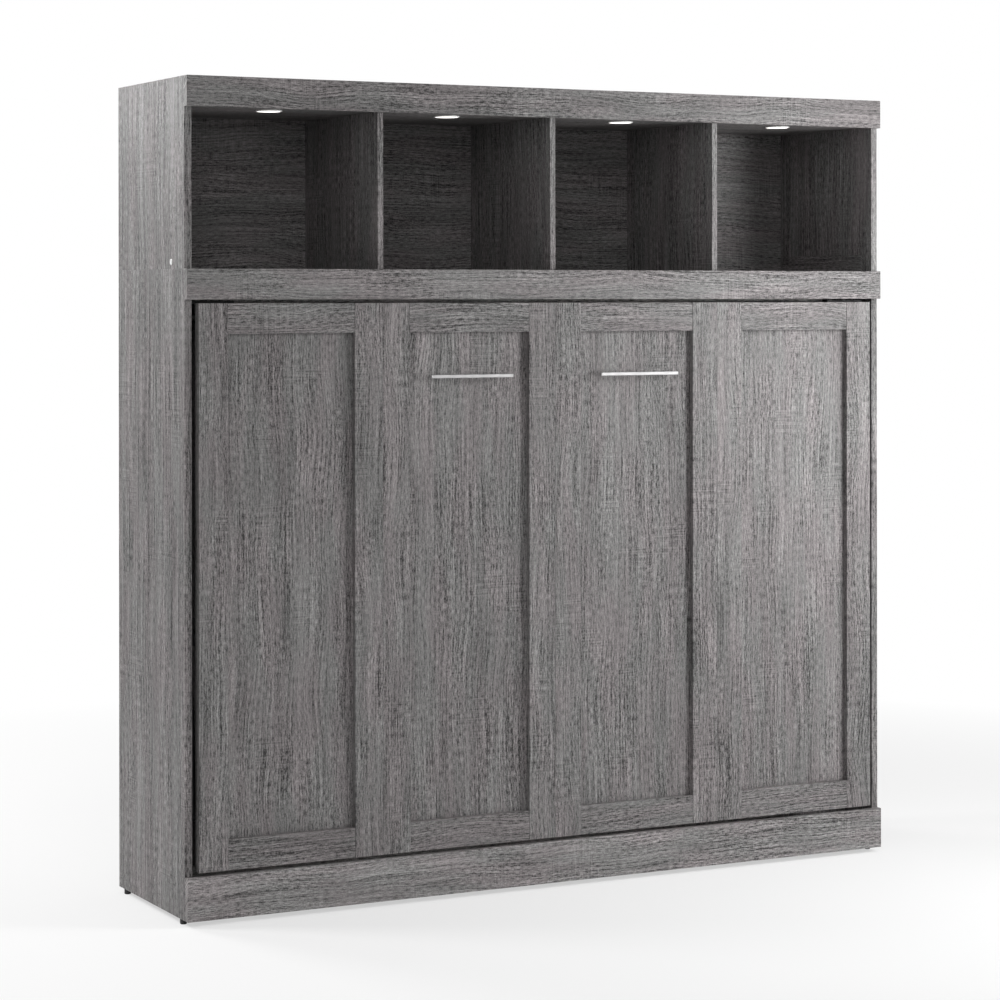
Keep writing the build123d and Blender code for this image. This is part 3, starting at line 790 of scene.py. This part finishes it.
# ---------------------------------------------------------------- straps
STRAP_WIDTH = 0.050
STRAP_THICK = 0.0018
STRAP_BEND = 0.018
STRAP_LIFT = 0.0004      # between the strap and the cover it lies on
STRAP_EASE = 0.06        # the strap comes down to the cover over this length
SIDE_STEPS, BEND_STEPS, TOP_STEPS = 10, 8, 90
LEVELLING = 3            # times that the strap is pulled straight over the quilting
# a band's section: across as a share of its width, out as a share of its thickness; the
# selvedges are thicker
SECTION = [(-0.5, 0.0), (-0.49, 0.42), (-0.45, 0.5), (-0.42, 0.36),
           (0.42, 0.36), (0.45, 0.5), (0.49, 0.42), (0.5, 0.0),
           (0.49, -0.42), (0.45, -0.5), (0.42, -0.36),
           (-0.42, -0.36), (-0.45, -0.5), (-0.49, -0.42)]
BUCKLE_Z = 1.27
BUCKLE_REACH = 0.019     # half the buckle's length along the strap
BUCKLE_SIDE = 0.006
BUCKLE_EDGE = 0.0011
BAR_HALF = 0.0025
BAR_THICK = 0.003
# the three cross bars: place along the strap, and lift
BUCKLE_BARS = [(-0.0165, 0.0), (0.0, 0.0016), (0.0165, 0.0)]


def strap_middle():
    return box_corners("mattress_straps")[1].x - STRAP_WIDTH / 2


def surface_of(piece):
    mesh = piece.data
    return BVHTree.FromPolygons([v.co for v in mesh.vertices],
                                [f.vertices[:] for f in mesh.polygons])


def cover_height(surface, x, z):
    """The mattress's top surface at x, z: the highest of three points across the strap."""
    heights = []
    for share in (-0.4, 0.0, 0.4):
        start = Vector((x + share * STRAP_WIDTH, 1.0, z))
        place = surface.ray_cast(start, Vector((0, -1, 0)))[0]
        heights.append(place.y if place else -1.0)
    return max(heights)


def strap_line(surface, x):
    """The strap's middle line in (y, z): up one side, over the mattress, where it lies on it,
    and down the other."""
    low, high = box_corners("mattress_straps")
    half = STRAP_THICK / 2
    top = high.y - half - CLEARANCE
    left, right = low.z + half, high.z - half
    foot = low.y + CLEARANCE
    rise = [foot + (top - STRAP_BEND - foot) * i / SIDE_STEPS for i in range(SIDE_STEPS)]
    bend = [math.radians(90 * i / BEND_STEPS) for i in range(BEND_STEPS + 1)]
    line = [(y, left) for y in rise]
    line += [(top - STRAP_BEND * (1 - math.sin(a)), left + STRAP_BEND * (1 - math.cos(a)))
             for a in bend]
    first, last = left + STRAP_BEND, right - STRAP_BEND
    zs = [first + (last - first) * i / TOP_STEPS for i in range(1, TOP_STEPS)]
    lies = [min(top, cover_height(surface, x, z) + half + STRAP_LIFT) for z in zs]
    for _ in range(LEVELLING):
        beside = list(zip([lies[0]] + lies[:-1], lies[1:] + [lies[-1]]))
        lies = [max(y, (before + after) / 2) for y, (before, after) in zip(lies, beside)]
    for y, z in zip(lies, zs):
        line.append((top + (y - top) * eased(min(1.0, min(z - first, last - z) / STRAP_EASE)), z))
    line += [(top - STRAP_BEND * (1 - math.cos(a)), right - STRAP_BEND * (1 - math.sin(a)))
             for a in bend]
    line += [(y, right) for y in rise[::-1]]
    return line


def strap_mesh(line, x):
    """A closed band of SECTION along the line, in the plane at x."""
    points, faces, n, last = [], [], len(SECTION), len(line) - 1
    for i, (y, z) in enumerate(line):
        ahead = (Vector(line[min(i + 1, last)]) - Vector(line[max(i - 1, 0)])).normalized()
        for across, out in SECTION:
            points.append((x + across * STRAP_WIDTH, y + ahead.y * out * STRAP_THICK,
                           z - ahead.x * out * STRAP_THICK))
    for i in range(last):
        for k in range(n):
            beside = (k + 1) % n
            faces.append((i * n + k, i * n + beside, (i + 1) * n + beside, (i + 1) * n + k))
    faces.append(tuple(range(n)))
    faces.append(tuple(last * n + k for k in range(n)))
    return points, faces


def make_straps(surface):
    cloth, buckle = webbing(), plastic(*BUCKLE_PLASTIC)
    for side, x in (("left", -strap_middle()), ("right", strap_middle())):
        points, faces = strap_mesh(strap_line(surface, x), x)
        band = add_piece(f"strap_{side}", points, faces, "bed", cloth)
        outward(band.data)
        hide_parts("mattress_straps")
        make_buckle(f"strap_buckle_{side}", surface, x, BUCKLE_Z, buckle)


def rounded_bar(low, high, radius):
    """Points and faces of a box with rounded edges."""
    bm = bmesh.new()
    bmesh.ops.create_cube(bm, size=1.0)
    size = [h - l for l, h in zip(low, high)]
    for v in bm.verts:
        v.co = Vector([low[a] + (v.co[a] + 0.5) * size[a] for a in range(3)])
    bmesh.ops.bevel(bm, geom=bm.edges, offset=radius, segments=3, profile=0.5, affect="EDGES")
    bm.verts.index_update()
    points = [v.co.copy() for v in bm.verts]
    faces = [[v.index for v in f.verts] for f in bm.faces]
    bm.free()
    return points, faces


def make_buckle(name, surface, x, z, material):
    """A three-bar slide: two side bars and three cross bars over the strap."""
    y = cover_height(surface, x, z) + STRAP_THICK
    half = STRAP_WIDTH / 2 + 0.001
    near, far = z - BUCKLE_REACH, z + BUCKLE_REACH
    bars = [((x - half - BUCKLE_SIDE, y - 0.001, near), (x - half, y + 0.004, far)),
            ((x + half, y - 0.001, near), (x + half + BUCKLE_SIDE, y + 0.004, far))]
    half += BUCKLE_SIDE / 2
    for shift, lift in BUCKLE_BARS:
        base = y + STRAP_LIFT + lift
        bars.append(((x - half, base, z + shift - BAR_HALF),
                     (x + half, base + BAR_THICK, z + shift + BAR_HALF)))
    points, faces = [], []
    for low, high in bars:
        append_part(points, faces, rounded_bar(low, high, BUCKLE_EDGE))
    add_piece(name, points, faces, "bed", material)


# ---------------------------------------------------------------- screw heads
RINGS, SECTORS = 9, 24
DOME, DOME_POWER = 0.75, 2.4                             # how the head falls to its edge
CROSS_HALF, CROSS_REACH, CROSS_DEEP = 0.12, 0.58, 0.6    # shares of radius, radius and height
CENTRE = 0.01                                            # radius of the innermost ring, a share
FIRST_TURN, NEXT_TURN = 0.4, 1.1                         # how the crosses are turned, in radians
PLATE_THICK, PLATE_RIM = 0.004, 0.012
WOOD_SCREW, CLAMP_SCREW = 0.0045, 0.003                  # head radii
SHELF_Y, SHELF_X = -0.181, (0.915, 0.960)
CLAMP_X, CLAMP_Z = 0.0285, 0.00925


def screw_head(middle, out, radius, height, turn):
    """A low domed head with a cross recess, standing on middle and facing out."""
    out = Vector(out)
    first = out.orthogonal().normalized()
    second = out.cross(first)
    angles = [2 * math.pi * k / SECTORS for k in range(SECTORS)]
    points, faces = [], []

    def place(r, angle, lift):
        ray = first * math.cos(angle) + second * math.sin(angle)
        points.append(middle + ray * r + out * lift)

    for ring in range(RINGS + 1):
        r = radius * ring / RINGS
        for angle in angles:
            across, along = abs(r * math.cos(angle)), abs(r * math.sin(angle))
            lift = height * (1 - DOME * (r / radius) ** DOME_POWER)
            in_arm = min(across, along) < CROSS_HALF * radius
            if in_arm and max(across, along) < CROSS_REACH * radius:
                lift -= CROSS_DEEP * height
            place(r if ring else CENTRE * radius, angle + turn, lift)
    for angle in angles:
        place(radius, angle + turn, 0.0)
    for ring in range(RINGS + 1):
        for k in range(SECTORS):
            a, b = ring * SECTORS + k, ring * SECTORS + (k + 1) % SECTORS
            faces.append((a, b, b + SECTORS, a + SECTORS))
    faces.append(tuple(range(SECTORS)))
    faces.append(tuple((RINGS + 1) * SECTORS + k for k in range(SECTORS)))
    return points, faces


def make_screws(name, places, out, radius, height, body):
    points, faces = [], []
    for i, place in enumerate(places):
        turn = FIRST_TURN + NEXT_TURN * i
        append_part(points, faces, screw_head(Vector(place), out, radius, height, turn))
    piece = add_piece(name, points, faces, body, zinc)
    outward(piece.data)
    smooth(piece.data, False)


def make_screw_heads():
    low, high = box_corners("pivot_plates")
    ys, zs = (low.y + PLATE_RIM, high.y - PLATE_RIM), (low.z + PLATE_RIM, high.z - PLATE_RIM)
    for side, x, out in (("left", low.x + PLATE_THICK, 1), ("right", high.x - PLATE_THICK, -1)):
        places = [(x, y, z) for y in ys for z in zs]
        make_screws(f"pivot_plate_screws_{side}", places, (out, 0, 0), WOOD_SCREW, 0.0013,
                    "cabinet")
    shelf = box_corners("leg_brackets")[1].z
    for side, sign in (("left", -1), ("right", 1)):
        places = [(sign * x, SHELF_Y, shelf) for x in SHELF_X]
        make_screws(f"leg_bracket_screws_{side}", places, (0, 0, 1), WOOD_SCREW, 0.0012, "bed")
    low, high = box_corners("strap_plates")
    places = [(x + dx, high.y, z) for x in (-strap_middle(), strap_middle())
              for dx in (-CLAMP_X, CLAMP_X) for z in (low.z + CLAMP_Z, high.z - CLAMP_Z)]
    make_screws("strap_plate_screws", places, (0, 1, 0), CLAMP_SCREW, 0.0014, "bed")


make_camera()
make_floor()
for values in LIGHTS:
    area_light(*values)
make_sky()
finish_cad_nodes()
make_straps(surface_of(make_mattress()))
make_screw_heads()
